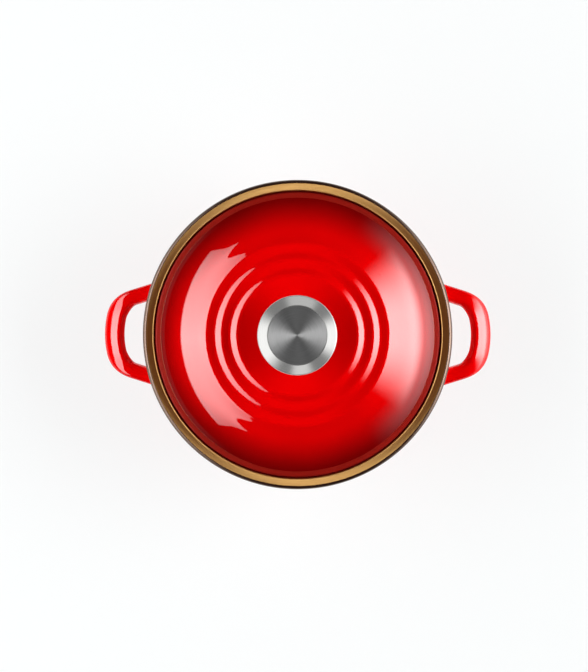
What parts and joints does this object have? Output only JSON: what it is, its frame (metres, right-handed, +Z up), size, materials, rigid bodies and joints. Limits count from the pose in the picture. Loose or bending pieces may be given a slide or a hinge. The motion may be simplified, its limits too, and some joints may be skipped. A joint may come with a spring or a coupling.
{
  "type": "dutch oven",
  "caption": "Round enamelled cast iron dutch oven with loop handles, a metal rim band and a nesting ribbed lid that lifts off by a steel knob.",
  "frame": {"origin": "centre of the flat base, on the surface that the oven stands on", "axes": "+Z up along the pot's axis, +X along the line through both handles"},
  "size_m": [0.2922, 0.23, 0.1655],
  "materials": {
    "enamelled_cast_iron": "glossy red vitreous enamel over cast iron, darker towards the lid's edge; sand-coloured enamel inside",
    "gold_toned_brass": "satin, with fine grain across the band",
    "polished_steel": "polished stainless steel",
    "spun_steel": "spun, with fine rings round the centre",
    "zinc_plated_steel": "satin zinc plate",
    "dark_silicone": "matte moulded silicone"
  },
  "bodies": {
    "pot": {"pot_body": "enamelled_cast_iron", "handle_left": "enamelled_cast_iron", "handle_right": "enamelled_cast_iron", "rim_band": "gold_toned_brass"},
    "lid": {"lid": "enamelled_cast_iron", "knob_gasket": "dark_silicone", "knob_cup": "polished_steel", "knob_cap": "polished_steel", "knob_disc": "spun_steel", "knob_nut": "zinc_plated_steel", "lid_screw": "zinc_plated_steel", "lock_washer": "zinc_plated_steel", "flat_washer": "zinc_plated_steel", "screw_seal": "dark_silicone"}
  },
  "joints": [
    {"name": "lid_lift", "type": "slide", "parent": "pot", "child": "lid", "axis": [0, 0, 1], "range_m": [0, 0.12]}
  ]
}
